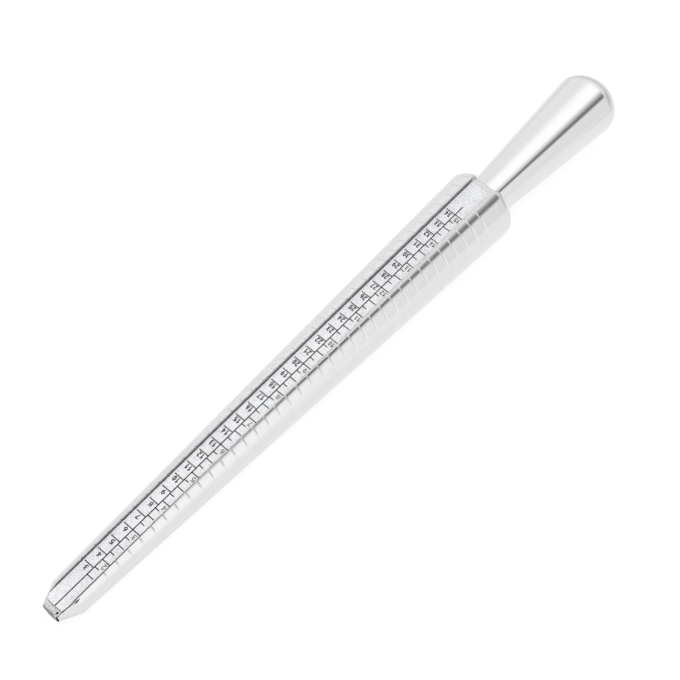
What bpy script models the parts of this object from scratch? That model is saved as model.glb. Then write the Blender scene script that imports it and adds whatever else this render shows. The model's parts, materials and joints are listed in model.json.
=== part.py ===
# Ring mandrel lying on its side with its channel up.
# A tapered aluminium stick has fine rings turned into it, a conical chamfer on its tip and a rounded
# shoulder. A channel milled along its crest holds a printed size strip on an adhesive film. A flared,
# domed handle is drawn up against the shoulder by a stud that is hidden in both.
# +X runs from the small tip to the handle, +Z is up, and the origin is under the middle.

import math

import bmesh
import bpy

# Stick: sizes in metres, places measured along its axis from the tip's end face
stick_length = 0.1896
small_end_radius = 0.00595
shoulder_radius = 0.01246
tip_face_radius = 0.0032
tip_chamfer_length = 0.0064
shoulder_round = 0.0029

# Rings turned into the stick
first_groove_place = 0.0167
groove_pitch = 0.0045825
groove_shoulder_clearance = 0.006
groove_width = 0.0008
groove_depth = 0.0004

# Channel along the crest, its depth set by what lies in it
channel_tip_width = 0.00754
channel_shoulder_width = 0.0086
print_depth = 0.00312
strip_thickness = 0.0006
film_thickness = 0.0002
seat_gap = 0.0002

# Strip and film
strip_tip_width = 0.0057
strip_shoulder_margin = 0.0015
film_margin = 0.0004

# Handle: places measured from its seat on the shoulder face
handle_length = 0.062
handle_seat_radius = 0.0069
handle_widest_radius = 0.01108
handle_dome_height = 0.0076
handle_edge_fillet = 0.00106

# Stud between stick and handle
stud_radius = 0.003
stud_length = 0.03
stud_chamfer = 0.0006
stud_end_space = 0.0005

# Making
turn_segments = 32
bore_segments = 24
arc_steps = 5
cap_steps = 8
cut_overrun = 0.002
weld_distance = 0.000001
sharp_angle = math.radians(30)

taper_share = (shoulder_radius - small_end_radius) / stick_length
lying_angle = math.atan(taper_share)
channel_depth = print_depth + strip_thickness + film_thickness + seat_gap + seat_gap
overall_length = stick_length + seat_gap + handle_length


def crest_radius(place):
    return small_end_radius + taper_share * place


def channel_half_width(place):
    along_share = place / stick_length
    return (channel_tip_width + (channel_shoulder_width - channel_tip_width) * along_share) / 2


def chamfer_place(radius):
    # Where the tip's chamfer has this radius
    widest = crest_radius(tip_chamfer_length)
    return tip_chamfer_length * (radius - tip_face_radius) / (widest - tip_face_radius)


def plain_material(name, colour, roughness, metallic):
    material = bpy.data.materials.new(name)
    material.use_nodes = True
    shader = material.node_tree.nodes["Principled BSDF"]
    shader.inputs["Base Color"].default_value = (*colour, 1)
    shader.inputs["Roughness"].default_value = roughness
    shader.inputs["Metallic"].default_value = metallic
    material.diffuse_color = (*colour, 1)
    return material


def place_object(name, bm, material, carrier, smooth):
    bmesh.ops.recalc_face_normals(bm, faces=bm.faces)
    mesh = bpy.data.meshes.new(name)
    bm.to_mesh(mesh)
    bm.free()
    if smooth:
        mesh.shade_smooth()
        mesh.set_sharp_from_angle(angle=sharp_angle)
    if material:
        mesh.materials.append(material)
    thing = bpy.data.objects.new(name, mesh)
    bpy.context.collection.objects.link(thing)
    thing.parent = carrier
    return thing


def turned_piece(name, profile, segments, material, carrier):
    # The profile of (place, radius) is spun round X, with flats at the bottom, top and sides
    # and each flat's middle at the true radius
    half_step = math.pi / segments
    bm = bmesh.new()
    corners = []
    for place, radius in profile:
        corner_radius = radius / math.cos(half_step)
        side = corner_radius * math.sin(half_step)
        height = corner_radius * math.cos(half_step)
        corners.append(bm.verts.new((place, side, height)))
    edges = [bm.edges.new(pair) for pair in zip(corners, corners[1:])]
    bmesh.ops.spin(
        bm, geom=corners + edges, cent=(0, 0, 0), axis=(1, 0, 0), angle=2 * math.pi,
        steps=segments, use_merge=True, use_duplicate=False,
    )
    bmesh.ops.remove_doubles(bm, verts=bm.verts, dist=weld_distance)
    rim_edges = [edge for edge in bm.edges if edge.is_boundary]
    if rim_edges:
        bmesh.ops.holes_fill(bm, edges=rim_edges, sides=0)
    return place_object(name, bm, material, carrier, True)


def lofted_bar(name, stations, material, carrier):
    # Four-cornered sections of (place, half width, bottom, top) are joined along X
    bm = bmesh.new()
    loops = []
    for place, half_width, bottom, top in stations:
        outline = [(-half_width, bottom), (half_width, bottom), (half_width, top), (-half_width, top)]
        corners = [bm.verts.new((place, side, height)) for side, height in outline]
        loops.append([bm.edges.new((corners[i - 1], corners[i])) for i in range(len(corners))])
    for near, far in zip(loops, loops[1:]):
        bmesh.ops.bridge_loops(bm, edges=near + far)
    for end in (loops[0], loops[-1]):
        bmesh.ops.contextual_create(bm, geom=end)
    return place_object(name, bm, material, carrier, False)


def cut_away(thing, cutter):
    cutter.hide_render = True
    cutter.display_type = "WIRE"
    cut = thing.modifiers.new(cutter.name, "BOOLEAN")
    cut.operation = "DIFFERENCE"
    cut.solver = "EXACT"
    cut.object = cutter


def arc_points(centre_place, centre_radius, radius, start, end, steps):
    # Angles are measured from straight out toward the handle end
    points = []
    for step in range(steps + 1):
        angle = start + (end - start) * step / steps
        points.append((centre_place + radius * math.sin(angle), centre_radius + radius * math.cos(angle)))
    return points


def stick_profile():
    profile = [(0, tip_face_radius), (tip_chamfer_length, crest_radius(tip_chamfer_length))]
    last_groove_place = stick_length - shoulder_round - groove_shoulder_clearance
    groove_count = 1 + math.floor((last_groove_place - first_groove_place) / groove_pitch)
    for ring in range(groove_count):
        middle = first_groove_place + groove_pitch * ring
        near = middle - groove_width / 2
        far = middle + groove_width / 2
        profile.append((near, crest_radius(near)))
        profile.append((middle, crest_radius(middle) - groove_depth))
        profile.append((far, crest_radius(far)))
    round_place = stick_length - shoulder_round
    round_centre = crest_radius(round_place) - shoulder_round
    profile.extend(arc_points(round_place, round_centre, shoulder_round, 0, math.pi / 2, arc_steps))
    return profile


def make_stick(material, carrier):
    stick = turned_piece("mandrel_body", stick_profile(), turn_segments, material, carrier)
    sections = []
    for place in (-cut_overrun, stick_length + cut_overrun):
        floor = crest_radius(place) - channel_depth
        sections.append((place, channel_half_width(place), floor, crest_radius(place) + cut_overrun))
    cut_away(stick, lofted_bar("channel_cutter", sections, None, carrier))
    bottom_place = stick_length - stud_length / 2 - stud_end_space
    cut_away(stick, stud_bore("stick_bore_cutter", bottom_place, stick_length + cut_overrun, carrier))
    return stick


def stud_bore(name, start, end, carrier):
    radius = stud_radius + seat_gap
    return turned_piece(name, [(start, radius), (end, radius)], bore_segments, None, carrier)


def make_strip(material, carrier):
    # The strip's sides stand clear of the channel and its tip end follows the chamfer
    top_at_tip = small_end_radius - print_depth
    tip_half_width = strip_tip_width / 2
    full_half_width = channel_half_width(0) - seat_gap
    tip_place = chamfer_place(math.hypot(tip_half_width, top_at_tip))
    full_place = chamfer_place(math.hypot(full_half_width, top_at_tip))
    shoulder_place = stick_length - strip_shoulder_margin
    stations = []
    for place in (tip_place, full_place, shoulder_place):
        top = crest_radius(place) - print_depth
        half_width = tip_half_width if place == tip_place else channel_half_width(place) - seat_gap
        stations.append((place, half_width, top - strip_thickness, top))
    return lofted_bar("scale_strip", stations, material, carrier)


def make_film(material, carrier, strip_start):
    stations = []
    for place in (strip_start + film_margin, stick_length - strip_shoulder_margin - film_margin):
        bottom = crest_radius(place) - channel_depth + seat_gap
        half_width = strip_tip_width / 2 - film_margin
        stations.append((place, half_width, bottom, bottom + film_thickness))
    return lofted_bar("strip_adhesive", stations, material, carrier)


def handle_profile():
    # A flared cone, a fillet that touches both cone and dome, and a round dome whose height and
    # widest radius give its own radius
    cone_length = handle_length - handle_dome_height
    flare_share = (handle_widest_radius - handle_seat_radius) / cone_length
    dome_radius = (handle_widest_radius**2 + handle_dome_height**2) / (2 * handle_dome_height)
    slant = math.hypot(1, flare_share)
    cap_centre = handle_length - dome_radius
    inner_radius = dome_radius - handle_edge_fillet
    inset_radius = handle_seat_radius - handle_edge_fillet * slant
    half_sum = (cap_centre - flare_share * inset_radius) / slant**2
    rest = (inner_radius**2 - cap_centre**2 - inset_radius**2) / slant**2
    fillet_place = half_sum + math.sqrt(half_sum**2 + rest)
    fillet_centre = inset_radius + flare_share * fillet_place
    cone_angle = -math.atan(flare_share)
    cap_angle = math.atan2(fillet_place - cap_centre, fillet_centre)
    profile = [(0, handle_seat_radius)]
    profile += arc_points(
        fillet_place, fillet_centre, handle_edge_fillet, cone_angle, cap_angle, arc_steps
    )
    profile += arc_points(cap_centre, 0, dome_radius, cap_angle, math.pi / 2, cap_steps)[1:]
    return profile


def make_handle(material, carrier):
    seat = stick_length + seat_gap
    profile = [(seat + place, radius) for place, radius in handle_profile()]
    handle = turned_piece("handle", profile, turn_segments, material, carrier)
    bottom_place = stick_length + stud_length / 2 + stud_end_space
    cut_away(handle, stud_bore("handle_bore_cutter", seat - cut_overrun, bottom_place, carrier))
    return handle


def make_stud(material, carrier):
    start = stick_length - stud_length / 2
    end = stick_length + stud_length / 2
    profile = [
        (start, stud_radius - stud_chamfer),
        (start + stud_chamfer, stud_radius),
        (end - stud_chamfer, stud_radius),
        (end, stud_radius - stud_chamfer),
    ]
    return turned_piece("handle_stud", profile, bore_segments, material, carrier)


for old in list(bpy.data.objects):
    bpy.data.objects.remove(old, do_unlink=True)

axis_frame = bpy.data.objects.new("mandrel_axis", None)
bpy.context.collection.objects.link(axis_frame)
axis_frame.rotation_euler = (0, -lying_angle, 0)
axis_frame.location = (
    -overall_length * math.cos(lying_angle) / 2,
    0,
    small_end_radius * math.cos(lying_angle),
)

bare_aluminium = plain_material("bare_aluminium", (0.80, 0.81, 0.82), 0.28, 1)
polished_aluminium = plain_material("polished_aluminium", (0.84, 0.85, 0.86), 0.16, 1)
printed_film = plain_material("printed_film", (0.86, 0.89, 0.93), 0.4, 0)
clear_adhesive = plain_material("clear_adhesive", (0.82, 0.80, 0.74), 0.5, 0)
zinc_steel = plain_material("zinc_steel", (0.62, 0.62, 0.60), 0.35, 1)

make_stick(bare_aluminium, axis_frame)
scale_strip = make_strip(printed_film, axis_frame)
make_film(clear_adhesive, axis_frame, min(corner.co.x for corner in scale_strip.data.vertices))
make_handle(polished_aluminium, axis_frame)
make_stud(zinc_steel, axis_frame)
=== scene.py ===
# Ring mandrel, the looks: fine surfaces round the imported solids, the printed scale, the metal
# finishes, a pale studio and the photograph's camera. Lengths are metres in the part's own frame.
import json
import math

import bmesh
import bpy
import numpy as np
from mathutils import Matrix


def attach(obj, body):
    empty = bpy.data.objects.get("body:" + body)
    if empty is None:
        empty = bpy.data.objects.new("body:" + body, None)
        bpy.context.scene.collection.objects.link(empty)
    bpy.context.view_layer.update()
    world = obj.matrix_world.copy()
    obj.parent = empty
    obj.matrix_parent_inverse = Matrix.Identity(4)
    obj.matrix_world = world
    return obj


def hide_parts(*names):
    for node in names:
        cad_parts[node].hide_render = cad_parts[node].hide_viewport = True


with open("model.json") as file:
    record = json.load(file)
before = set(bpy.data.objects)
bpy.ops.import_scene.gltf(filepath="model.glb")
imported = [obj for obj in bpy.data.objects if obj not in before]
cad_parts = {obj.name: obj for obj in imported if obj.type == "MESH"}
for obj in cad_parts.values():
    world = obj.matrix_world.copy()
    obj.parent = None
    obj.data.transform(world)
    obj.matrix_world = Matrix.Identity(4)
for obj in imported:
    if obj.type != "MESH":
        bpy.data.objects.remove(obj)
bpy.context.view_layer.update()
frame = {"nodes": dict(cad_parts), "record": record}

mm = 0.001
print("frame loaded with", len(frame["nodes"]), "nodes")


def inMillimetres(**values):
    # Lengths = values * a millimetre
    return {name: value * mm for name, value in values.items()}


# The stick's own axes: place along its axis from the tip face, side, and height out of the channel
tipMount = next(mount for mount in frame["record"]["mounts"] if mount["name"] == "tip_face")
tipPlace = np.array(tipMount["pos_m"])
alongAxis = -np.array(tipMount["axis"])
sideAxis = np.array([0.0, 1.0, 0.0])
heightAxis = np.cross(alongAxis, sideAxis)
lyingAngle = math.atan2(alongAxis[2], alongAxis[0])

stick = {
    **inMillimetres(
        length=189.6, smallEndRadius=5.95, shoulderRadius=12.46, tipFaceRadius=3.2,
        tipChamferLength=6.4, shoulderRound=2.9, firstGroovePlace=16.8, groovePitch=4.5825,
    ),
    "grooveCount": 36,
    "grooveWidths": (0.50 * mm, 0.54 * mm),
    "grooveDepths": (0.10 * mm, 0.09 * mm),
    "grooveShapePower": 1.3,
    "grooveStations": [0.0, 0.04, 0.3, 0.6, 0.96, 1.0, 1.04],
    "chamferStations": 17,
    "landStations": 5,
    "roundStations": 17,
    "arcPoints": 145,
}
rim = {
    "flat": 0.45 * mm,
    "flatDegrees": 30.0,
    "flatShares": [0.06, 0.5, 0.94, 1.0],
    "farthestShare": 0.995,
    "fadeHeight": 0.4 * mm,
    "highRound": 0.1 * mm,
    # The low side's rounding along the stick, in millimetres
    "lowPlaces": [0.0, 0.5, 3.0, 4.6, 12.0, 32.0, 46.0, 64.0, 90.0],
    "lowRounds": [0.10, 0.22, 0.24, 0.40, 0.40, 0.30, 0.21, 0.12, 0.10],
    "drop": 0.6 * mm,
    "leastRun": 0.000001 * mm,
    "steps": 8,
}
channel = {
    "tipWidth": 7.54 * mm,
    "shoulderWidth": 8.6 * mm,
    "depth": 4.32 * mm,
    # The low wall's distance from the middle along the stick, in millimetres
    "lowWallPlaces": [0.0, 1.0, 1.8, 2.5, 3.5, 5.0, 6.6, 55.0, 75.0, 112.0],
    "lowWallSides": [2.74, 2.72, 2.98, 3.10, 3.28, 3.46, 3.60, 3.64, 3.86, 4.08],
    "wallShares": [0.0, 0.05, 0.5, 1.0],
    "floorPoints": 5,
}
making = {
    "mergeDistance": 0.00005 * mm,
    "dissolveDistance": 0.00002 * mm,
    "sharpDegrees": 32.0,
}
taperShare = (stick["shoulderRadius"] - stick["smallEndRadius"]) / stick["length"]


def crestRadius(place):
    # Radius = small end radius + taper * place
    return stick["smallEndRadius"] + taperShare * place


def toRow(place, side, height):
    # Point = tip + place * along + side * across + height * out of the channel
    place, side, height = np.broadcast_arrays(place, side, height)
    return (
        tipPlace
        + place[..., None] * alongAxis
        + side[..., None] * sideAxis
        + height[..., None] * heightAxis
    )


def gridFaces(rows, columns):
    # Quads between neighbours of a grid of points, the last column joined to the first
    index = np.arange(rows * columns).reshape(rows, columns)
    index = np.concatenate([index, index[:, :1]], axis=1)
    quads = [index[:-1, :-1], index[:-1, 1:], index[1:, 1:], index[1:, :-1]]
    return np.stack(quads, axis=-1).reshape(-1, 4)


def tubeFaces(rows, columns):
    # The grid's quads, then one face over each end of the tube
    quads = [list(face) for face in gridFaces(rows, columns)]
    return quads + [list(range(columns)), list(range((rows - 1) * columns, rows * columns))]


def addObject(name, data):
    made = bpy.data.objects.new(name, data)
    bpy.context.collection.objects.link(made)
    return made


def makePiece(name, points, faces, materials, slot, replaced=(), faceMaterial=None):
    # Mesh from points and faces, doubles merged at poles, normals set outward, on the root body
    mesh = bpy.data.meshes.new(name)
    mesh.from_pydata(np.asarray(points).reshape(-1, 3).tolist(), [], [list(face) for face in faces])
    for material in materials:
        mesh.materials.append(material)
    if faceMaterial is not None:
        mesh.polygons.foreach_set("material_index", np.asarray(faceMaterial, dtype=np.int32))
    shape = bmesh.new()
    shape.from_mesh(mesh)
    bmesh.ops.remove_doubles(shape, verts=shape.verts, dist=making["mergeDistance"])
    bmesh.ops.dissolve_degenerate(shape, edges=shape.edges, dist=making["dissolveDistance"])
    bmesh.ops.recalc_face_normals(shape, faces=shape.faces)
    shape.to_mesh(mesh)
    shape.free()
    mesh.shade_smooth()
    mesh.set_sharp_from_angle(angle=math.radians(making["sharpDegrees"]))
    piece = addObject(name, mesh)
    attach(piece, "root")
    if replaced:
        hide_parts(*replaced)
    print("made", name, "with", len(mesh.polygons), "faces")
    return piece


def mathOperator(operation, reflected=False):
    # A method that adds one Math node to the tree its value came from
    def combine(self, other=0.0):
        first, second = (other, self) if reflected else (self, other)
        return self.shading.node("Math", {"operation": operation}, {0: first, 1: second})

    return combine


class Wire:
    # A shader value in a sum, such as 1 - mask
    def __init__(self, shading, socket):
        self.shading = shading
        self.socket = socket

    __add__ = __radd__ = mathOperator("ADD")
    __sub__ = mathOperator("SUBTRACT")
    __rsub__ = mathOperator("SUBTRACT", reflected=True)
    __mul__ = __rmul__ = mathOperator("MULTIPLY")
    __truediv__ = mathOperator("DIVIDE")
    __rtruediv__ = mathOperator("DIVIDE", reflected=True)
    __pow__ = mathOperator("POWER")
    sine = mathOperator("SINE")
    most = mathOperator("MAXIMUM")
    least = mathOperator("MINIMUM")


class Shading:
    # A node tree being filled. node() takes the type after its first word ShaderNode, then the
    # settings, then the sockets' values.
    def __init__(self, owner):
        owner.use_nodes = True
        self.tree = owner.node_tree
        self.tree.nodes.clear()

    def node(self, kind, settings=None, inputs=None, output=0):
        made = self.tree.nodes.new("ShaderNode" + kind)
        for name, value in (settings or {}).items():
            setattr(made, name, value)
        for key, value in (inputs or {}).items():
            if isinstance(value, Wire):
                self.tree.links.new(value.socket, made.inputs[key])
            else:
                made.inputs[key].default_value = value
        return Wire(self, made.outputs[output]) if made.outputs else None

    def vectorMath(self, operation, first, second=(0.0, 0.0, 0.0), output=0):
        return self.node("VectorMath", {"operation": operation}, {0: first, 1: second}, output)

    def coordinates(self, kind):
        return self.node("TexCoord", {}, {}, kind)

    def degreesRound(self, side, height):
        # Angle = arc tangent of side over height, in degrees from straight up
        turn = self.node("Math", {"operation": "ARCTAN2"}, {0: side, 1: height})
        return turn * (180 / math.pi)

    def noise(self, vector, scale, detail=2.0, roughness=0.5):
        inputs = {"Vector": vector, "Scale": scale, "Detail": detail, "Roughness": roughness}
        return self.node("TexNoise", {}, inputs)

    def streaks(self, place, along, across, detail=2.0, roughness=0.5):
        # Noise with one scale along the stick and another across it
        stretched = self.vectorMath("MULTIPLY", place, (along, across, across))
        return self.noise(stretched, 1.0, detail, roughness)

    def parts(self, vector):
        return [self.node("SeparateXYZ", {}, {0: vector}, part) for part in range(3)]

    def mixColour(self, share, first, second):
        return self.node("Mix", {"data_type": "RGBA"}, {0: share, 6: first, 7: second}, 2)

    def mixShader(self, share, first, second):
        return self.node("MixShader", {}, {0: share, 1: first, 2: second})

    def ramp(self, value, low, high, lowLevel=0.0, highLevel=1.0):
        inputs = {0: value, 1: low, 2: high, 3: lowLevel, 4: highLevel}
        return self.node("MapRange", {"interpolation_type": "SMOOTHSTEP"}, inputs)

    def band(self, value, edges):
        # 1 between the two middle edges, fading to 0 at the first and the last
        first, second, third, fourth = edges
        return self.ramp(value, first, second) * (1 - self.ramp(value, third, fourth))

    def stickCoordinates(self):
        # Object coordinates turned so that X runs up the stick's axis from the tip face
        away = self.vectorMath("SUBTRACT", self.coordinates("Object"), tuple(tipPlace))
        return self.node("Mapping", {}, {"Vector": away, "Rotation": (0, lyingAngle, 0)})

    def patch(self, place, centre, size, fadeStart=0.6):
        # 1 inside an ellipsoid given in millimetres, fading to 0 at its edge
        away = self.vectorMath("SUBTRACT", place, [part * mm for part in centre])
        away = self.vectorMath("MULTIPLY", away, [1 / (part * mm) for part in size])
        return 1 - self.ramp(self.vectorMath("LENGTH", away, output="Value"), fadeStart, 1.0)

    def bump(self, height, distance):
        return self.node("Bump", {}, {"Strength": 1.0, "Distance": distance, "Height": height})

    def finish(self, **inputs):
        values = {name.replace("_", " "): value for name, value in inputs.items()}
        shader = self.node("BsdfPrincipled", {}, values)
        self.node("OutputMaterial", {}, {"Surface": shader})


def newMaterial(name):
    material = bpy.data.materials.new(name)
    return material, Shading(material)


def colour(red, green, blue):
    return (red, green, blue, 1.0)


# What the machined finishes share
machined = {
    "markStretch": 90.0,
    "bandStretch": 12.0,
    "scratchStretch": 70.0,
    "scratchRange": (0.66, 0.74),
    "cloudScale": 55.0,
    "cloudRange": (0.45, 0.65),
    "mottleRange": (0.36, 0.64),
    "bandShare": 0.25,
    "scratchShare": 0.3,
    "tipPlaces": (0.3 * mm, 1.5 * mm),
    "tipShade": 0.0,
    "bandRoughness": 0.6,
    "scratchRoughness": 0.08,
    "scratchDepth": 0.8,
    "dentsAndPaintedLight": [],
}
turned = {
    **machined,
    "base": colour(0.795, 0.795, 0.805),
    "worn": colour(0.70, 0.70, 0.715),
    "markScale": 7000.0,
    "markHeight": 0.0014 * mm,
    "bandScale": 420.0,
    "scratchScale": 5200.0,
    "mottleScale": 700.0,
    "mottleShare": 0.15,
    "smoothRoughness": 0.09,
    "roughRoughness": 0.16,
    "dentsAndPaintedLight": [((6.25, -4.36, 4.3), (1.30, 0.26, 0.6))],
    "dentAndPaintedLightTone": colour(0.10, 0.09, 0.09),
    "scuffScale": 3000.0,
    "scuffStretch": 2.5,
    "scuffRange": (0.42, 0.66),
    "scuffShare": 0.55,
    "scuffDegrees": (27.0, 33.0, 50.0, 62.0),
    "paintedHighlight": colour(0.87, 0.87, 0.88),
    "paintedHighlightDegrees": (24.0, 26.0, 42.0, 54.0),
    "shadeAndHighlightPlaces": (55.0 * mm, 75.0 * mm),
    "ringShadeShift": 0.2 * mm,
    "ringShadeWidths": (0.10 * mm, 0.30 * mm),
    "ringShadeShare": 0.27,
    "ringShadeDegrees": (24.0, 26.0, 32.0, 41.0),
}
polished = {
    **machined,
    "base": colour(0.80, 0.80, 0.81),
    "worn": colour(0.76, 0.76, 0.775),
    "markScale": 5200.0,
    "markHeight": 0.0007 * mm,
    "bandScale": 160.0,
    "scratchScale": 6400.0,
    "mottleScale": 400.0,
    "mottleShare": 0.10,
    "smoothRoughness": 0.08,
    "roughRoughness": 0.13,
}
milledFloor = {
    **machined,
    "base": colour(0.76, 0.76, 0.765),
    "worn": colour(0.30, 0.295, 0.30),
    "markScale": 2600.0,
    "markHeight": 0.003 * mm,
    "bandScale": 700.0,
    "scratchScale": 2400.0,
    "mottleScale": 2000.0,
    "mottleShare": 0.42,
    "smoothRoughness": 0.26,
    "roughRoughness": 0.42,
    "tipShade": 0.15,
    # A near-black patch where the floor meets the low wall by the tip face is painted shade
    "dentsAndPaintedLight": [((0.85, -1.85, 1.65), (0.50, 0.42, 0.6))],
    "dentAndPaintedLightTone": colour(0.02, 0.02, 0.02),
}
# The walls' dark tone is partly their rough milled finish and partly painted shade in the channel
milledAndShadedWall = {
    **milledFloor,
    "base": colour(0.30, 0.30, 0.31),
    "worn": colour(0.20, 0.20, 0.205),
    "markHeight": 0.004 * mm,
    "mottleScale": 900.0,
    "mottleShare": 0.3,
    "smoothRoughness": 0.34,
    "roughRoughness": 0.52,
    "tipShade": 0.0,
    # A pale patch on the high wall's end by the shoulder is painted light
    "dentsAndPaintedLight": [((189.4, 4.2, 9.5), (3.2, 1.5, 4.0))],
    "dentAndPaintedLightTone": colour(0.80, 0.80, 0.80),
}
# The low rim's bend in near black is painted shade along the channel's low edge
rimShade = {
    **milledAndShadedWall,
    "base": colour(0.062, 0.062, 0.064),
    "worn": colour(0.04, 0.04, 0.04),
    "dentsAndPaintedLight": [],
}


def highSideWear(shading, place, values):
    # Beside the channel's high wall: short scuffs round the axis, painted shade in the rings, a band of
    # painted highlight
    along, side, height = shading.parts(place)
    degrees = shading.degreesRound(side, height)
    scuffScale = values["scuffScale"]
    scuffs = shading.streaks(place, scuffScale, scuffScale / values["scuffStretch"])
    scuffed = shading.band(degrees, values["scuffDegrees"]) * shading.ramp(scuffs, *values["scuffRange"])
    pitch = stick["groovePitch"]
    ring = (along - (stick["firstGroovePlace"] - values["ringShadeShift"])) / pitch
    fromRing = shading.node("Math", {"operation": "PINGPONG"}, {0: ring, 1: 0.5})
    higher = shading.ramp(along, *values["shadeAndHighlightPlaces"])
    # Darker rings toward the shoulder are painted shade in the grooves
    soiledAndShaded = shading.band(degrees, values["ringShadeDegrees"]) * higher * values["ringShadeShare"]
    soiledAndShaded = soiledAndShaded * (1 - shading.ramp(fromRing * pitch, *values["ringShadeWidths"]))
    # A paler band toward the shoulder is painted highlight
    paintedHighlight = shading.band(degrees, values["paintedHighlightDegrees"]) * higher
    return scuffed * values["scuffShare"], soiledAndShaded, paintedHighlight


def metalRoughness(values, first, second, share):
    # Roughness = smooth + (first * share + second * (1 - share)) * (rough - smooth)
    smooth, rough = values["smoothRoughness"], values["roughRoughness"]
    return smooth + (first * share + second * (1 - share)) * (rough - smooth)


def machinedAluminium(name, values):
    # Fine tool marks run round the axis, faint wear scratches run along it
    material, shading = newMaterial(name)
    place = shading.stickCoordinates()
    markScale, bandScale, scratchScale = values["markScale"], values["bandScale"], values["scratchScale"]
    marks = shading.streaks(place, markScale, markScale / values["markStretch"], detail=3.0, roughness=0.6)
    bands = shading.streaks(place, bandScale, bandScale / values["bandStretch"])
    lines = shading.streaks(place, scratchScale / values["scratchStretch"], scratchScale, detail=1.0)
    cloud = shading.noise(place, values["cloudScale"], detail=3.0)
    scratches = shading.ramp(lines, *values["scratchRange"]) * shading.ramp(cloud, *values["cloudRange"])
    mottle = shading.ramp(shading.noise(place, values["mottleScale"]), *values["mottleRange"])
    nearTip = 1 - shading.ramp(shading.parts(place)[0], *values["tipPlaces"])
    wear = bands * values["bandShare"] + scratches * values["scratchShare"]
    wear = wear + mottle * values["mottleShare"] + nearTip * values["tipShade"]
    if "scuffScale" in values:
        # Toward the shoulder the high side gets painted shade in its rings and a band of painted highlight
        scuffed, soiledAndShaded, paintedHighlight = highSideWear(shading, place, values)
        base = shading.mixColour(paintedHighlight, values["base"], values["paintedHighlight"])
        tone = shading.mixColour((wear + scuffed).least(1.0), base, values["worn"])
        tone = shading.mixColour(soiledAndShaded, tone, values["dentAndPaintedLightTone"])
    else:
        tone = shading.mixColour(wear.least(1.0), values["base"], values["worn"])
    # Patches of one tone: a real dent on the turned surface, painted shade and painted light in the
    # channel
    for centre, size in values["dentsAndPaintedLight"]:
        tone = shading.mixColour(shading.patch(place, centre, size), tone, values["dentAndPaintedLightTone"])
    roughness = metalRoughness(values, bands, cloud, values["bandRoughness"])
    roughness = roughness + scratches * values["scratchRoughness"]
    relief = shading.bump(marks - scratches * values["scratchDepth"], values["markHeight"])
    shading.finish(Base_Color=tone, Metallic=1.0, Roughness=roughness, Normal=relief)
    return material


faced = {
    "base": colour(0.22, 0.22, 0.225),
    "worn": colour(0.08, 0.08, 0.081),
    "edge": colour(0.006, 0.006, 0.006),
    "faceHighlight": colour(0.95, 0.95, 0.95),
    "faceHighlightPlace": (0.0, -1.70, 1.2),
    "faceHighlightSize": (0.5, 0.40, 2.0),
    "lowSidePlaces": (1.9 * mm, 2.2 * mm),
    "highSidePlaces": (2.2 * mm, 2.8 * mm),
    "sideShares": (1.0, 0.7),
    "ringScale": 5200.0,
    "ringWander": 30.0,
    "ringHeight": 0.003 * mm,
    "mottleScale": 1400.0,
    "mottleRange": (0.35, 0.65),
    "mottleRoughness": 0.6,
    "smoothRoughness": 0.24,
    "roughRoughness": 0.42,
}
shoulderFaced = {
    **faced,
    "base": colour(0.74, 0.74, 0.75),
    "worn": colour(0.56, 0.56, 0.57),
    "sideShares": (0.0, 0.0),
}


def facedAluminium(name, values):
    # A flat end: rings round the axis from the facing cut, mottling, and the tip's dark sides and a white
    # patch of painted highlight
    material, shading = newMaterial(name)
    place = shading.stickCoordinates()
    side, height = shading.parts(place)[1:]
    radius = (side * side + height * height) ** 0.5
    wander = values["ringWander"]
    ringPlace = {0: radius * values["ringScale"], 1: side * wander, 2: height * wander}
    ringVector = shading.node("CombineXYZ", {}, ringPlace)
    rings = shading.noise(ringVector, 1.0, detail=3.0, roughness=0.6)
    mottle = shading.ramp(shading.noise(place, values["mottleScale"], detail=3.0), *values["mottleRange"])
    tone = shading.mixColour(mottle, values["base"], values["worn"])
    lowShare, highShare = values["sideShares"]
    lowSide = shading.ramp(side * -1.0, *values["lowSidePlaces"]) * lowShare
    highSide = shading.ramp(side, *values["highSidePlaces"]) * highShare
    tone = shading.mixColour(lowSide, tone, values["edge"])
    # A white patch on the tip's face is a painted highlight along a burr
    faceHighlight = shading.patch(place, values["faceHighlightPlace"], values["faceHighlightSize"])
    tone = shading.mixColour(faceHighlight, tone, values["faceHighlight"])
    roughness = metalRoughness(values, mottle, rings, values["mottleRoughness"])
    shading.finish(
        Base_Color=tone, Metallic=1.0 - lowSide.most(highSide), Roughness=roughness,
        Specular_IOR_Level=0.0, Normal=shading.bump(rings, values["ringHeight"]),
    )
    return material


film = {
    "base": colour(0.965, 0.97, 0.985),
    "dot": colour(0.50, 0.51, 0.54),
    "dotPitch": 0.80 * mm,
    "screenShare": 0.7,
    "grainScale": 2600.0,
    "grainShare": 1.6,
    "dotRange": (0.8, 1.6),
    "dotShare": 0.5,
    "stainScale": 130.0,
    "stainRange": (0.42, 0.7),
    "stainShare": 0.1,
    "fleckScale": 1500.0,
    "fleckRange": (0.46, 0.66),
    "fleckShare": 0.33,
    "greyPlaces": (110.0 * mm, 165.0 * mm),
    "greyShare": 0.11,
    "soiledAndShaded": colour(0.60, 0.61, 0.62),
    "soiledPlaces": (186.6 * mm, 187.1 * mm),
    "soiledWander": 0.4 * mm,
    "soiledLeast": 0.35,
    "roughness": 0.34,
    "stainRoughness": 0.10,
    "waveScale": 190.0,
    "waveGrain": 0.05,
    "waveHeight": 0.010 * mm,
}
# A darker copy of the film for the cut edge: painted shade along the strip's low edge
cutFilmShade = {**film, "base": colour(0.60, 0.60, 0.61), "dot": colour(0.42, 0.42, 0.43)}


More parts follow.
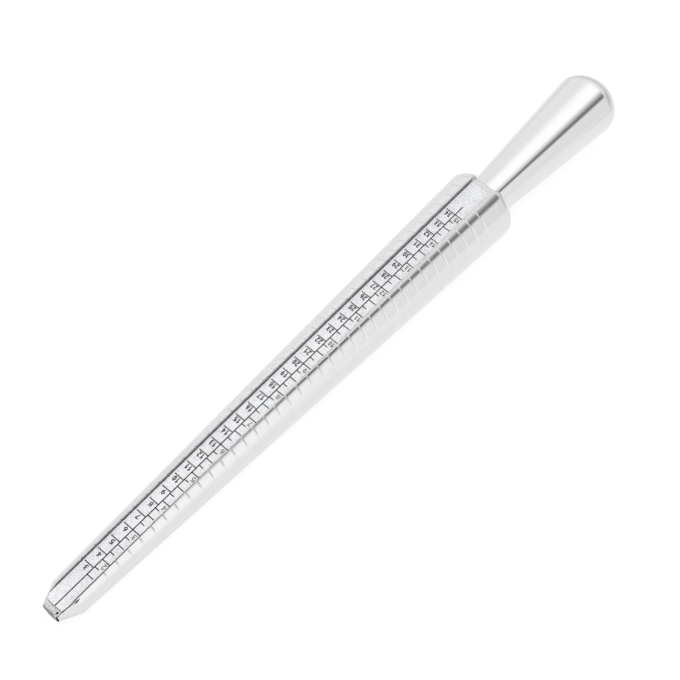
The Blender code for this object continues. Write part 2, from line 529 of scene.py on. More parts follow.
def printedFilm(name, values):
    # White film with a fine screen of printed dots, a faint waviness and a soft sheen
    material, shading = newMaterial(name)
    place = shading.stickCoordinates()
    along, side = shading.parts(place)[:2]
    turns = 2 * math.pi / values["dotPitch"]
    screen = (along * turns).sine() * (side * turns).sine()
    grain = shading.noise(place, values["grainScale"])
    dots = shading.ramp(screen * values["screenShare"] + grain * values["grainShare"], *values["dotRange"])
    stain = shading.ramp(shading.noise(place, values["stainScale"], detail=3.0), *values["stainRange"])
    fleck = shading.ramp(shading.noise(place, values["fleckScale"]), *values["fleckRange"])
    grey = shading.ramp(along, *values["greyPlaces"]) * values["greyShare"]
    spots = dots * values["dotShare"] + stain * values["stainShare"] + fleck * values["fleckShare"] + grey
    tone = shading.mixColour(spots.least(1.0), values["base"], values["dot"])
    # The film is soiled along its end at the shoulder
    soiledAndShaded = shading.ramp(along + grain * values["soiledWander"], *values["soiledPlaces"])
    soiledAndShaded = soiledAndShaded * (values["soiledLeast"] + fleck * (1 - values["soiledLeast"]))
    tone = shading.mixColour(soiledAndShaded, tone, values["soiledAndShaded"])
    wave = shading.noise(place, values["waveScale"]) + grain * values["waveGrain"]
    shading.finish(
        Base_Color=tone, Roughness=values["roughness"] + stain * values["stainRoughness"],
        Normal=shading.bump(wave, values["waveHeight"]),
    )
    return material


ink = {
    "black": (colour(0.012, 0.012, 0.014), colour(0.05, 0.05, 0.055)),
    "red": (colour(0.15, 0.060, 0.075), colour(0.27, 0.15, 0.17)),
    "grey": (colour(0.36, 0.36, 0.38), colour(0.56, 0.56, 0.58)),
    "patchScale": 5200.0,
    "patchRange": (0.45, 0.8),
    "patchShare": 0.55,
    "roughness": 0.36,
    "patchRoughness": 0.12,
}


def printInk(name, tint, thin):
    # Ink that thins a little in places, over the film's grain
    material, shading = newMaterial(name)
    noise = shading.noise(shading.stickCoordinates(), ink["patchScale"], detail=3.0)
    patch = shading.ramp(noise, *ink["patchRange"])
    tone = shading.mixColour(patch * ink["patchShare"], tint, thin)
    shading.finish(Base_Color=tone, Roughness=ink["roughness"] + patch * ink["patchRoughness"])
    return material


# Finishes of the pieces inside: colour, metallic, roughness
hidden = {
    "adhesive": (colour(0.80, 0.78, 0.70), 0.0, 0.45),
    "stud": (colour(0.60, 0.60, 0.58), 1.0, 0.32),
    "grainScale": 1800.0,
    "darkShare": 0.8,
    "grainRoughness": 0.1,
}


def hiddenFinish(name, base, metallic, roughness):
    # A grain in tone and roughness
    material, shading = newMaterial(name)
    grain = shading.noise(shading.stickCoordinates(), hidden["grainScale"], detail=3.0)
    dark = colour(*[part * hidden["darkShare"] for part in base[:3]])
    tone = shading.mixColour(grain, base, dark)
    roughness = roughness + grain * hidden["grainRoughness"]
    shading.finish(Base_Color=tone, Metallic=metallic, Roughness=roughness)
    return material


turnedFinish = machinedAluminium("turnedAluminium", turned)
polishedFinish = machinedAluminium("polishedAluminium", polished)
floorFinish = machinedAluminium("milledFloor", milledFloor)
wallFinish = machinedAluminium("milledAndShadedWall", milledAndShadedWall)
rimShadeFinish = machinedAluminium("rimShade", rimShade)
facedFinish = facedAluminium("facedAluminium", faced)
shoulderFinish = facedAluminium("shoulderFaced", shoulderFaced)
filmFinish = printedFilm("printedFilm", film)
cutFilmShadeFinish = printedFilm("cutFilmShade", cutFilmShade)
blackInk = printInk("blackInk", *ink["black"])
redInk = printInk("redInk", *ink["red"])
greyInk = printInk("greyInk", *ink["grey"])
adhesiveFinish = hiddenFinish("adhesiveFilm", *hidden["adhesive"])
studFinish = hiddenFinish("zincSteel", *hidden["stud"])
print("materials made")


def grooveSize(sizes, place):
    # Grooves change evenly from the first size at the tip to the second at the shoulder
    return sizes[0] + (sizes[1] - sizes[0]) * place / stick["length"]


def grooveCut(place):
    # Depth = groove depth * (1 - (distance from the groove's middle / half width) ** power)
    first, pitch = stick["firstGroovePlace"], stick["groovePitch"]
    nearest = np.clip(np.round((place - first) / pitch), 0, stick["grooveCount"] - 1)
    middle = first + nearest * pitch
    share = np.abs(place - middle) / (grooveSize(stick["grooveWidths"], middle) / 2)
    depth = grooveSize(stick["grooveDepths"], middle)
    return depth * np.clip(1 - share ** stick["grooveShapePower"], 0, 1)


def stickStations():
    # Places along the stick, close together where the profile bends
    near = np.array(stick["grooveStations"])
    near = np.concatenate([-near[:0:-1], near])
    middles = stick["firstGroovePlace"] + stick["groovePitch"] * np.arange(stick["grooveCount"])
    widths = grooveSize(stick["grooveWidths"], middles)
    grooves = (middles[:, None] + near * widths[:, None] / 2).ravel()
    lands = middles[:-1] + stick["groovePitch"] / 2
    roundStart = stick["length"] - stick["shoulderRound"]
    turn = np.linspace(0, math.pi / 2, stick["roundStations"])
    shoulder = roundStart + stick["shoulderRound"] * np.sin(turn)
    chamferEnd, landStations = stick["tipChamferLength"], stick["landStations"]
    chamfer = np.linspace(0, chamferEnd, stick["chamferStations"])
    before = np.linspace(chamferEnd, middles[0] - widths[0], landStations)[1:]
    after = np.linspace(middles[-1] + widths[-1], roundStart, landStations)[:-1]
    wallStart = chamferPlace(channel["tipWidth"] / 2, floorHeight(0))
    return np.unique(np.concatenate([chamfer, [wallStart], before, grooves, lands, after, shoulder]))


def chamferPlace(side, height):
    # Place on the tip's chamfer whose radius reaches this side and height
    length, faceRadius = stick["tipChamferLength"], stick["tipFaceRadius"]
    return length * (math.hypot(side, height) - faceRadius) / (crestRadius(length) - faceRadius)


def floorHeight(place):
    # The channel's floor runs at a constant depth under the crest
    return crestRadius(place) - channel["depth"]


def channelHalfWidth(place):
    # Half width = (tip width + widening * place) / 2
    widening = (channel["shoulderWidth"] - channel["tipWidth"]) / stick["length"]
    return (channel["tipWidth"] + widening * place) / 2


def lowHalfWidth(place):
    # The wall on the low side stands nearer the middle toward the tip
    places = np.array(channel["lowWallPlaces"]) * mm
    sides = np.array(channel["lowWallSides"]) * mm
    return np.where(place < places[-1], np.interp(place, places, sides), channelHalfWidth(place))


def stickRadius(place):
    # Chamfer, taper less the grooves, then a quarter circle at the shoulder
    chamferLength = stick["tipChamferLength"]
    faceRadius = stick["tipFaceRadius"]
    chamferShare = np.clip(place / chamferLength, 0, 1)
    chamfer = faceRadius + (crestRadius(chamferLength) - faceRadius) * chamferShare
    roundRadius = stick["shoulderRound"]
    roundStart = stick["length"] - roundRadius
    beyond = np.clip(place - roundStart, 0, roundRadius)
    rounded = crestRadius(roundStart) - roundRadius + np.sqrt(roundRadius**2 - beyond**2)
    radius = crestRadius(place) - grooveCut(place)
    radius = np.where(place < chamferLength, chamfer, radius)
    return np.where(place > roundStart, rounded, radius)


def rimSection(place, wantedHalfWidth, wantedRound):
    # One side of the channel: where the arc starts, then the rim's points, then the wall's points
    radius = stickRadius(place)
    floor = floorHeight(place)
    halfWidth = np.minimum(wantedHalfWidth, np.sqrt(radius**2 - floor**2))
    top = np.sqrt(radius**2 - halfWidth**2)
    # The rim: a filed flat at one angle where the crest is steeper, then a rounding to the wall
    wallShare = np.clip((top - floor) / rim["fadeHeight"], 0, 1)
    drop = np.minimum(rim["drop"] * wallShare, (top - floor) / 2)
    flatAngle = np.minimum(np.arcsin(halfWidth / radius), math.radians(rim["flatDegrees"]))
    flatSide = halfWidth + rim["flat"] * wallShare * np.cos(flatAngle)
    flatSide = np.minimum(flatSide, radius * rim["farthestShare"])
    startAngle = np.arcsin(flatSide / radius)
    startHeight = radius * np.cos(startAngle)
    # Flat = arc end + inward run * (1, tangent), rounding = a bend from the flat down to the wall
    run = flatSide - halfWidth
    flatEnd = run * np.tan(flatAngle) + startHeight
    inner = np.minimum(wantedRound * wallShare, run)
    flatRun = run * np.array(rim["flatShares"])[None, :] * (1 - inner / np.maximum(run, rim["leastRun"]))
    t = np.linspace(0, 1, rim["steps"] + 1)[None, 1:-1]
    bendSide = halfWidth + (1 - t) ** 2 * inner
    bendHeight = flatEnd - (1 - t) ** 2 * inner * np.tan(flatAngle) - t**2 * drop
    rimSide = np.concatenate([flatSide - flatRun, bendSide], axis=1)
    rimHeight = np.concatenate([startHeight + flatRun * np.tan(flatAngle), bendHeight], axis=1)
    down = np.array(channel["wallShares"])[None, :]
    wallTop = flatEnd - drop
    return startAngle, rimSide, rimHeight, halfWidth + 0 * down, wallTop + (floor - wallTop) * down


def makeStick():
    # Each station is one closed section: an arc under the channel, then its walls and floor
    place = stickStations()[:, None]
    radius = stickRadius(place)
    lowRound = np.interp(place, np.array(rim["lowPlaces"]) * mm, rim["lowRounds"]) * mm
    highAngle, highRim, highRimHeight, highWall, highWallHeight = rimSection(
        place, channelHalfWidth(place), rim["highRound"]
    )
    lowAngle, lowRim, lowRimHeight, lowWall, lowWallHeight = rimSection(
        place, lowHalfWidth(place), lowRound
    )
    share = np.linspace(0, 1, stick["arcPoints"])[None, :]
    angle = highAngle + (2 * math.pi - lowAngle - highAngle) * share
    share = np.linspace(0, 1, channel["floorPoints"] + 2)[None, 1:-1]
    floorSide = -lowWall[:, :1] + (highWall[:, :1] + lowWall[:, :1]) * share
    sides = [radius * np.sin(angle), -lowRim, -lowWall, floorSide, highWall[:, ::-1], highRim[:, ::-1]]
    heights = [
        radius * np.cos(angle), lowRimHeight, lowWallHeight,
        floorHeight(place) + 0 * share, highWallHeight[:, ::-1], highRimHeight[:, ::-1],
    ]
    side = np.concatenate(sides, axis=1)
    rows, columns = side.shape
    # Each face's finish goes by its column: the low rim's bend in painted shade, the walls, the floor
    # between them
    wallStart = stick["arcPoints"] + lowRim.shape[1]
    bendStart = wallStart - rim["steps"]
    floorStart = wallStart + lowWall.shape[1] - 1
    floorEnd = floorStart + share.size + 1
    wallEnd = floorEnd + lowWall.shape[1] - 1
    finishes = [turnedFinish, wallFinish, floorFinish, facedFinish, rimShadeFinish, shoulderFinish]
    columnFinish = np.zeros(columns, dtype=int)
    columnFinish[bendStart:wallStart] = finishes.index(rimShadeFinish)
    columnFinish[wallStart:wallEnd] = finishes.index(wallFinish)
    columnFinish[floorStart:floorEnd] = finishes.index(floorFinish)
    endFinish = [finishes.index(facedFinish), finishes.index(shoulderFinish)]
    return makePiece(
        "turnedStick", toRow(place, side, np.concatenate(heights, axis=1)), tubeFaces(rows, columns),
        finishes, "bare_aluminium", ["mandrel_body"], [*np.tile(columnFinish, rows - 1), *endFinish],
    )


handle = {
    **inMillimetres(
        seatGap=0.2, length=62.0, seatRadius=6.9, widestRadius=11.08, domeHeight=7.6,
        edgeFillet=5.5, poleClearance=0.02, seatReach=0.12, seatBreak=0.2,
    ),
    "coneStations": 40,
    "filletSteps": 24,
    "domeSteps": 36,
    "sides": 160,
}


def arcPoints(centrePlace, centreRadius, radius, start, end, steps):
    # Place = centre + radius * sin(angle), height = centre + radius * cos(angle)
    angle = np.linspace(start, end, steps + 1)
    return np.stack([centrePlace + radius * np.sin(angle), centreRadius + radius * np.cos(angle)], axis=1)


def handleProfile():
    # Seat, flared cone, a fillet that touches cone and dome, and the dome's arc to the axis
    coneLength = handle["length"] - handle["domeHeight"]
    flare = (handle["widestRadius"] - handle["seatRadius"]) / coneLength
    domeHeight = handle["domeHeight"] - handle["poleClearance"]
    domeRadius = (handle["widestRadius"] ** 2 + domeHeight**2) / (2 * domeHeight)
    slant = math.hypot(1, flare)
    domeCentre = coneLength + domeHeight - domeRadius
    fillet = handle["edgeFillet"]
    inset = handle["seatRadius"] - fillet * slant
    half = (domeCentre - flare * inset) / slant**2
    rest = ((domeRadius - fillet) ** 2 - domeCentre**2 - inset**2) / slant**2
    filletPlace = half + math.sqrt(half**2 + rest)
    filletCentre = inset + flare * filletPlace
    domeAngle = math.atan2(filletPlace - domeCentre, filletCentre)
    rounded = arcPoints(
        filletPlace, filletCentre, fillet, -math.atan(flare), domeAngle, handle["filletSteps"]
    )
    dome = arcPoints(domeCentre, 0, domeRadius, domeAngle, math.pi / 2, handle["domeSteps"])[1:]
    dome[-1, 1] = 0
    coneEnd = rounded[0, 0]
    reach = -handle["seatReach"]
    conePlace = np.linspace(reach + handle["seatBreak"], coneEnd, handle["coneStations"])[:-1]
    cone = np.stack([conePlace, handle["seatRadius"] + flare * conePlace], axis=1)
    seatRadius = handle["seatRadius"] - handle["seatBreak"]
    seat = np.array([[reach, 0], [reach, seatRadius / 2], [reach, seatRadius]])
    return np.concatenate([seat, cone, rounded, dome])


def revolve(profile, sides):
    # Side = radius * sin(angle), height = radius * cos(angle) for each profile point
    angle = np.linspace(0, 2 * math.pi, sides, endpoint=False)[None, :]
    place, radius = profile[:, :1], profile[:, 1:]
    return toRow(place, radius * np.sin(angle), radius * np.cos(angle)), gridFaces(len(profile), sides)


def makeHandle():
    # The profile stands on the shoulder's face, a gap away from it
    profile = handleProfile()
    profile[:, 0] += stick["length"] + handle["seatGap"]
    points, faces = revolve(profile, handle["sides"])
    return makePiece("flaredHandle", points, faces, [polishedFinish], "polished_aluminium", ["handle"])


strip = {
    **inMillimetres(
        printDepth=3.12, thickness=0.6, sideGap=0.12, tipHalfWidth=2.85, shoulderMargin=1.5,
        edgeRound=0.08,
    ),
    "edgeSteps": 3,
    "flatShares": [0.0, 0.5, 0.94, 0.99],
    "trimStations": 9,
    "stations": 96,
}


def stripFace(place):
    # The printed face lies at a constant depth under the crest
    return crestRadius(place) - strip["printDepth"]


def stripHalfWidth(place):
    # Full width between the channel's walls, narrowed at the tip to follow the chamfer
    full = channelHalfWidth(place) - strip["sideGap"]
    chamferRadius = stickRadius(np.asarray(place, dtype=float))
    trimmed = np.sqrt(np.clip(chamferRadius**2 - stripFace(place) ** 2, 0, None))
    return np.where(place < stick["tipChamferLength"], np.minimum(full, trimmed), full)


def makeStrip():
    # Rounded flat sections carried from the trimmed tip end to the shoulder end
    start = chamferPlace(strip["tipHalfWidth"], stripFace(0))
    trimEnd = chamferPlace(channel["tipWidth"] / 2 - strip["sideGap"], stripFace(0))
    end = stick["length"] - strip["shoulderMargin"]
    trimmed = np.linspace(start, trimEnd, strip["trimStations"])
    place = np.concatenate([trimmed, np.linspace(trimEnd, end, strip["stations"])[1:]])[:, None]
    halfWidth = stripHalfWidth(place)
    lowWidth = np.minimum(halfWidth, lowHalfWidth(place) - strip["sideGap"])
    top = stripFace(place)
    bottom = top - strip["thickness"]
    edge = strip["edgeRound"]
    turn = np.linspace(0, math.pi / 2, strip["edgeSteps"] + 1)[None, :]
    flat = np.array(strip["flatShares"])[None, :]
    upper = np.concatenate([top + 0 * flat, top - edge + edge * np.cos(turn)], axis=1)

    def halfSection(width):
        return np.concatenate([(width - edge) * flat, width - edge + edge * np.sin(turn)], axis=1)

    sides = [halfSection(halfWidth), halfWidth, -lowWidth, -halfSection(lowWidth)[:, :0:-1]]
    side = np.concatenate(sides, axis=1)
    height = np.concatenate([upper, bottom, bottom, upper[:, :0:-1]], axis=1)
    rows, columns = side.shape
    # The cut edge on the low side shows past the wall's end at the tip, darkened as painted shade
    edgeStart = columns // 2 + 1
    columnFinish = np.zeros(columns, dtype=int)
    columnFinish[edgeStart:edgeStart + strip["edgeSteps"]] = 1
    return makePiece(
        "printedStrip", toRow(place, side, height), tubeFaces(rows, columns),
        [filmFinish, cutFilmShadeFinish], "printed_film", ["scale_strip"],
        [*np.tile(columnFinish, rows - 1), 0, 0],
    )


scale = {
    **inMillimetres(
        sizeThreePlace=31.6, sizeStep=11.829, countedStep=5.0696, lineWidth=0.35, middleWidth=0.38,
        countedLine=3.5, wholeLine=2.85, quarterLine=1.6, middleStart=1.75, middleEnd=177.4,
        borderStart=98.0, borderPlace=186.6, borderSide=2.85, borderWidth=0.10, inkHeight=0.008,
    ),
    "countedStart": 6,
    "countedNumbers": range(3, 35),
    "sizeNumbers": range(2, 16),
    "firstQuarter": 1.5,
    "lastQuarter": 15.0,
    "halfLines": (2.35 * mm, 2.8 * mm),
    "linePoints": 48,
    "drift": (0.22 * mm, -0.10 * mm),
    "driftPlaces": (110.0 * mm, 190.0 * mm),
    # One style for numbers of one digit, another for numbers of two
    "countedStyles": [
        inMillimetres(height=1.70, digitWidth=1.10, digitGap=0.0, footGap=0.26, side=1.70, stroke=0.36),
        inMillimetres(height=1.84, digitWidth=0.96, digitGap=0.16, footGap=0.16, side=1.80, stroke=0.36),
    ],
    "sizeStyles": [
        inMillimetres(height=1.72, digitWidth=1.04, digitGap=0.0, footGap=0.36, side=-1.96, stroke=0.27),
        inMillimetres(height=1.68, digitWidth=0.86, digitGap=0.14, footGap=0.38, side=-1.85, stroke=0.31),
    ],
    "digitWeights": {"4": 0.8, "7": 0.9, "8": 0.88},
}


def printSide(place, side):
    # The print wanders sideways in the channel: one drift near the tip, another at the shoulder
    start, end = scale["driftPlaces"]
    share = np.clip((place - start) / (end - start), 0, 1)
    share = share**2 * (3 - 2 * share)
    near, far = scale["drift"]
    return side - near - (far - near) * share


def inkStroke(path, width, reach=0.0):
    # A path of (place, side) points widened by half the width each way, as a thin slab on the strip
    path = np.array(path, dtype=float)
    heading = np.gradient(path, axis=0)
    heading /= np.linalg.norm(heading, axis=1, keepdims=True)
    path[0] -= heading[0] * reach
    path[-1] += heading[-1] * reach
    across = np.stack([-heading[:, 1], heading[:, 0]], axis=1) * width / 2
    corners = np.stack([path - across, path + across, path + across, path - across], axis=1)
    place = corners[..., 0]
    side = printSide(place, corners[..., 1])
    height = stripFace(place) + scale["inkHeight"] * np.array([1, 1, -1, -1])
    return toRow(place, side, height).reshape(-1, 3), tubeFaces(len(path), 4)


def longLine(start, end, side, width):
    # Many points, so that the line follows the print's drift
    place = np.linspace(start, end, scale["linePoints"])
    return inkStroke(np.stack([place, side + 0 * place], axis=1), width)


def countedPlace(number):
    # Place = size 3's line + (number - the number there) * step
    return scale["sizeThreePlace"] + (number - scale["countedStart"]) * scale["countedStep"]


def sizePlace(size):
    # Place = size 3's line + (size - 3) * step
    return scale["sizeThreePlace"] + (size - 3) * scale["sizeStep"]


def blackLines():
    # A cross line for each counted number and each quarter size, and the long middle line
    width = scale["lineWidth"]
    lines = []
    for number in scale["countedNumbers"]:
        place = countedPlace(number)
        lines.append(inkStroke([(place, 0), (place, scale["countedLine"])], width))
    quarters = round((scale["lastQuarter"] - scale["firstQuarter"]) * 4) + 1
    for step in range(quarters):
        size = scale["firstQuarter"] + step / 4
        place = sizePlace(size)
        if size == int(size):
            reach = scale["wholeLine"]
        elif size * 2 == int(size * 2):
            reach = np.interp(place, (0, stick["length"]), scale["halfLines"])
        else:
            reach = scale["quarterLine"]
        lines.append(inkStroke([(place, 0), (place, -reach)], width))
    lines.append(longLine(scale["middleStart"], scale["middleEnd"], 0, scale["middleWidth"]))
    return lines


def arc(centre, radii, start, end, steps=14):
    # Point = centre + radii * (cosine, sine) of the angle
    angle = np.radians(np.linspace(start, end, steps))
    return np.stack([centre[0] + radii[0] * np.cos(angle), centre[1] + radii[1] * np.sin(angle)], axis=1)


def line(*corners):
    # Straight from corner to corner
    return np.array(corners, dtype=float)


# Plain digits as strokes in a box one wide and one tall
digitStrokes = {
    "0": [arc((0.5, 0.5), (0.5, 0.5), 90, 450, 25)],
    "1": [line((0.62, 0), (0.62, 1)), line((0.62, 1), (0.12, 0.74))],
    "2": [
        np.concatenate([arc((0.5, 0.71), (0.5, 0.29), 165, -25), line((0, 0))]),
        line((0, 0), (1, 0)),
    ],
    "3": [
        arc((0.46, 0.76), (0.46, 0.24), 150, -90),
        arc((0.46, 0.26), (0.54, 0.26), 90, -150),
        line((0.34, 0.52), (0.5, 0.52)),
    ],
    "4": [line((0.74, 0), (0.74, 1)), line((0.74, 1), (0, 0.3)), line((0, 0.3), (1, 0.3))],
    "5": [
        line((0.95, 1), (0.12, 1)),
        line((0.12, 1), (0.04, 0.54)),
        arc((0.44, 0.32), (0.56, 0.32), 135, -150),
    ],
    "6": [
        arc((0.5, 0.3), (0.5, 0.3), 90, 450, 21),
        arc((0.8, 0.3), (0.8, 0.7), 180, 95),
    ],
    "7": [line((0, 1), (1, 1)), line((1, 1), (0.35, 0))],
    "8": [
        arc((0.5, 0.76), (0.44, 0.24), 90, 450, 19),
        arc((0.5, 0.27), (0.5, 0.27), 90, 450, 21),
    ],
    "9": [
        arc((0.5, 0.7), (0.5, 0.3), 90, 450, 21),
        arc((0.2, 0.7), (0.8, 0.7), 0, -85),
    ],
}


def numberStrokes(number, place, styles):
    # A number stands with its foot toward the handle, a gap short of its line, and reads across
    text = str(number)
    style = styles[len(text) - 1]
    foot = place - scale["lineWidth"] / 2 - style["footGap"]
    pitch = style["digitWidth"] + style["digitGap"]
    parts = []
    for position, digit in enumerate(text):
        stroke = style["stroke"] * scale["digitWeights"].get(digit, 1.0)
        size = np.array([style["digitWidth"] - stroke, style["height"] - stroke])
        left = style["side"] + (position - len(text) / 2) * pitch + (style["digitGap"] + stroke) / 2
        for shape in digitStrokes[digit]:
            glyph = shape * size
            path = np.stack([foot - stroke / 2 - glyph[:, 1], left + glyph[:, 0]], axis=1)
            parts.append(inkStroke(path, stroke, stroke / 2 if len(path) == 2 else 0.0))
    return parts


def joinParts(parts):
    # Points one after another, each part's faces counted on from the points before it
    starts = np.cumsum([0] + [len(points) for points, faces in parts])
    joinedFaces = [np.array(faces) + start for (points, faces), start in zip(parts, starts)]
    return np.concatenate([points for points, faces in parts]), np.concatenate(joinedFaces)


def makePrint():
    # Lines and counted numbers in black, sizes in red, a thin grey line along the low edge
    black = blackLines()
    for number in scale["countedNumbers"]:
        black += numberStrokes(number, countedPlace(number), scale["countedStyles"])
    red = []
    for number in scale["sizeNumbers"]:
        red += numberStrokes(number, sizePlace(number), scale["sizeStyles"])
    start, end = scale["borderStart"], scale["borderPlace"]
    grey = [longLine(start, end, -scale["borderSide"], scale["borderWidth"])]
    prints = [("blackPrint", black, blackInk), ("redPrint", red, redInk), ("greyPrint", grey, greyInk)]
    for name, parts, finish in prints:
        makePiece(name, *joinParts(parts), [finish], "printed_film")


makeStick()
makeHandle()
makeStrip()
makePrint()
for node, finish in (("strip_adhesive", adhesiveFinish), ("handle_stud", studFinish)):
    for holder in frame["nodes"][node].material_slots:
        holder.material = finish
print("pieces made")

# Ranges named Along run from -1 toward the tip's end to 1 toward the handle's
surroundings = {
    "fillLevel": 0.50,
    "skyLevel": 0.96,
    "handleAlong": (0.50, 0.92),
    "glowDegrees": (-46.0, -8.0, 14.0, 24.0),
    "glowLevel": 0.29,
    "nearEndAlong": (-0.12, 0.04),
    "nearEndLevel": 0.04,
    "sideDegrees": (44.0, 56.0, 86.0, 100.0),
    "sideAlong": (0.22, 0.46),
    "sideLevels": (0.19, -0.07),
    "handleSideLevel": -0.14,
    "horizonHeights": (0.04, 0.45),
    "horizonShade": 0.28,
    "tipEndAlong": (-0.65, -0.58, -0.50, -0.36),
    "tipEndDegrees": (36.0, 46.0, 68.0, 92.0),
    "tipEndShade": 0.85,
    "farEndAlong": (-0.66, -0.58),
    "farEndGlow": 0.18,
    "tipSlotDegrees": (34.0, 42.0, 46.0, 58.0),
    "slotDegrees": (27.6, 35.6, 38.2, 47.6),
    "wideSlotDegrees": (17.0, 41.0, 42.2, 50.8),
    "slotAlong": (-0.58, -0.48, 0.50, 0.92),
    "narrowAlong": (-0.12, 0.10),
    "wideAlong": (0.33, 0.44),
    "delayAlong": (0.28, 0.33),
    "slotDelay": 2.4,
    "middleDepthAlong": (0.215, 0.262),
    "lastDepthAlong": (0.29, 0.38),
    "slotDepths": (0.40, 0.96, 0.80),
}


def seenShare(shading):
    # 1 for what the camera, a mirror or glass sees, 0 for the light on matt surfaces
    rays = [
        shading.node("LightPath", {}, {}, name)
        for name in ("Is Camera Ray", "Is Glossy Ray", "Is Transmission Ray")
    ]
    return rays[0].most(rays[1]).most(rays[2])


def makeSurroundings(values):
    # The room's light by direction: along the stick, and by the angle round it, positive toward -Y
    world = bpy.data.worlds.new("studio")
    bpy.context.scene.world = world
    shading = Shading(world)
    along, across, up = shading.parts(shading.coordinates("Generated"))
    degrees = shading.degreesRound(across * -1.0, up)
    towardHandle = shading.ramp(along, *values["handleAlong"])
    glow = shading.band(degrees, values["glowDegrees"]) * (1 - towardHandle)
    sky = values["skyLevel"] + glow * values["glowLevel"]
    sky = sky + (1 - shading.ramp(along, *values["nearEndAlong"])) * values["nearEndLevel"]
    # The side beyond the dark gap is brighter for the tip than for the shoulder
    sideShare = shading.band(degrees, values["sideDegrees"])
    sky = sky + sideShare * shading.ramp(along, *values["sideAlong"], *values["sideLevels"])
    sky = sky + sideShare * towardHandle * values["handleSideLevel"]
    lowDown = 1 - shading.ramp(up, *values["horizonHeights"])
    sky = sky * (1 - towardHandle * lowDown * values["horizonShade"])
    tipEnd = shading.band(along, values["tipEndAlong"]) * shading.band(degrees, values["tipEndDegrees"])
    sky = sky * (1 - tipEnd * values["tipEndShade"])
    sky = sky + (1 - shading.ramp(along, *values["farEndAlong"])) * values["farEndGlow"]
    # A dark gap beside the overhead light, wider toward the handle
    narrow = shading.ramp(along, *values["narrowAlong"])
    wide = shading.ramp(along, *values["wideAlong"])
    edges = zip(values["tipSlotDegrees"], values["slotDegrees"], values["wideSlotDegrees"])
    edges = [first + narrow * (middle - first) + wide * (last - middle) for first, middle, last in edges]
    delay = shading.ramp(along, *values["delayAlong"]) * (1 - wide) * values["slotDelay"]
    slot = shading.band(degrees, [edges[0] + delay, edges[1] + delay, edges[2], edges[3]])
    slot = slot * shading.band(along, values["slotAlong"])
    first, middle, last = values["slotDepths"]
    depth = shading.ramp(along, *values["middleDepthAlong"], first, middle)
    depth = depth + shading.ramp(along, *values["lastDepthAlong"]) * (last - middle)
    sky = sky * (1 - slot * depth)
    seen = seenShare(shading)
    level = seen * sky + (1 - seen) * values["fillLevel"]
    background = shading.node("Background", {}, {"Color": colour(1, 1, 1), "Strength": level})
    shading.node("OutputWorld", {}, {"Surface": background})


# What metal mirrors of the floor: places in metres, glow as emission strength
floorLook = {
    "size": 6.0,
    "litShare": 0.20,
    "bounceShare": 0.8,
    "shownGlow": 0.85,
    "plainGlow": 0.80,
    "underGlow": 0.72,
    "underAcross": (0.005, 0.014),
    "openGlow": 0.85,
    "openAcross": (-0.10, -0.03),
    "openAlong": (0.03, 0.09),
    "besideGlow": 0.745,
    "besideAcross": (0.015, 0.05),
    "farGlow": 0.93,
    "farAway": (0.3, 1.6),
    "beyondGlow": 0.60,
    "beyondAlong": (0.12, 0.22),
    "beyondHeading": (0.55, 0.85),
}


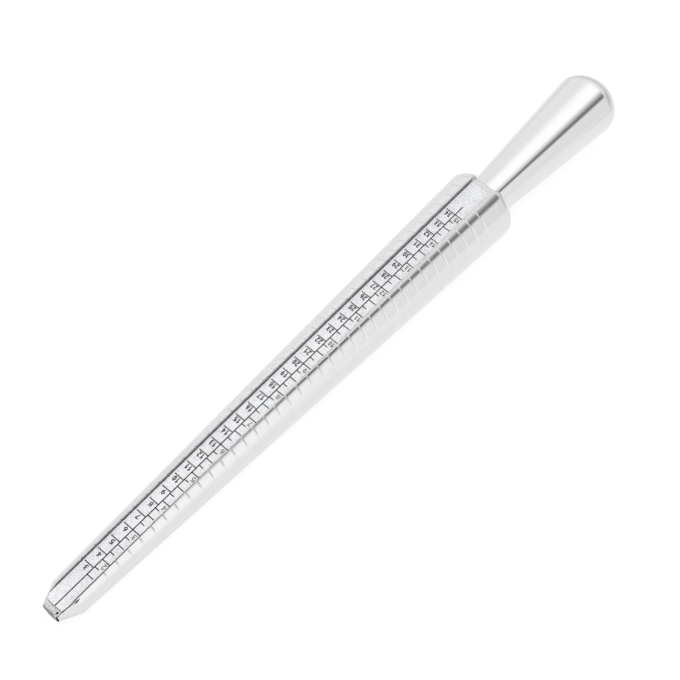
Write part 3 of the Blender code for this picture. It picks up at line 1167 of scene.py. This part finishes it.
def makeFloor(values):
    # A plain square that the camera sees pale and metal mirrors as patches of glow: painted light and
    # shadow
    size = values["size"]
    mesh = bpy.data.meshes.new("studioFloor")
    corners = [(-size, -size, 0), (size, -size, 0), (size, size, 0), (-size, size, 0)]
    mesh.from_pydata(corners, [], [(0, 1, 2, 3)])
    floor = addObject("studioFloor", mesh)
    material, shading = newMaterial("studioFloor")

    def covered(glow, share, name):
        emission = shading.node("Emission", {}, {"Strength": values[name]})
        return shading.mixShader(share, glow, emission) if glow else emission

    along, across = shading.parts(shading.coordinates("Object"))[:2]
    away = (along * along + across * across) ** 0.5
    openShare = 1 - shading.ramp(across, *values["openAcross"])
    openShare = openShare * (1 - shading.ramp(along, *values["openAlong"]))
    beyond = shading.ramp(along, *values["beyondAlong"])
    beyond = beyond * shading.ramp(along / away, *values["beyondHeading"])
    # Dimmer glow under the stick, beside it and beyond the handle is painted shadow; brighter glow on the
    # open side and far off is painted light
    glow = covered(None, 1, "plainGlow")
    glow = covered(glow, 1 - shading.ramp((across * across) ** 0.5, *values["underAcross"]), "underGlow")
    glow = covered(glow, openShare, "openGlow")
    glow = covered(glow, shading.ramp(across, *values["besideAcross"]), "besideGlow")
    glow = covered(glow, shading.ramp(away, *values["farAway"]), "farGlow")
    glow = covered(glow, beyond, "beyondGlow")
    glow = covered(glow, shading.node("LightPath", {}, {}, "Is Camera Ray"), "shownGlow")
    lit, bounce = [
        shading.node("BsdfDiffuse", {}, {"Color": colour(*[values[name]] * 3)})
        for name in ("litShare", "bounceShare")
    ]
    shown = shading.node("AddShader", {}, {0: lit, 1: glow})
    surface = shading.mixShader(seenShare(shading), bounce, shown)
    shading.node("OutputMaterial", {}, {"Surface": surface})
    mesh.materials.append(material)


overheadLight = {
    "place": (0.05, -0.22, 1.1),
    "size": (1.4, 0.9),
    "power": 8.2,
}


def makeLight(values):
    # A soft panel above that metal doesn't mirror
    light = bpy.data.lights.new("overheadPanel", "AREA")
    light.shape = "RECTANGLE"
    light.size, light.size_y = values["size"]
    light.energy = values["power"]
    lamp = addObject("overheadPanel", light)
    lamp.location = values["place"]
    lamp.visible_glossy = False


photograph = {
    "cameraPlace": (-0.218342, -0.157036, 0.421895),
    "cameraTurn": (32.4417, -3.1440, -48.5507),
    "lens": 85.172,
    "sensor": 36.0,
    "nearest": 0.01,
}


def makeCamera(values):
    # The camera stands where the fit to the photograph puts it
    data = bpy.data.cameras.new("photographView")
    data.lens = values["lens"]
    data.sensor_width = values["sensor"]
    data.clip_start = values["nearest"]
    camera = addObject("photographView", data)
    camera.location = values["cameraPlace"]
    camera.rotation_euler = [math.radians(angle) for angle in values["cameraTurn"]]
    bpy.context.scene.camera = camera


makeSurroundings(surroundings)
makeFloor(floorLook)
makeLight(overheadLight)
makeCamera(photograph)
bpy.context.scene.view_settings.view_transform = "Standard"
print("studio and camera made")
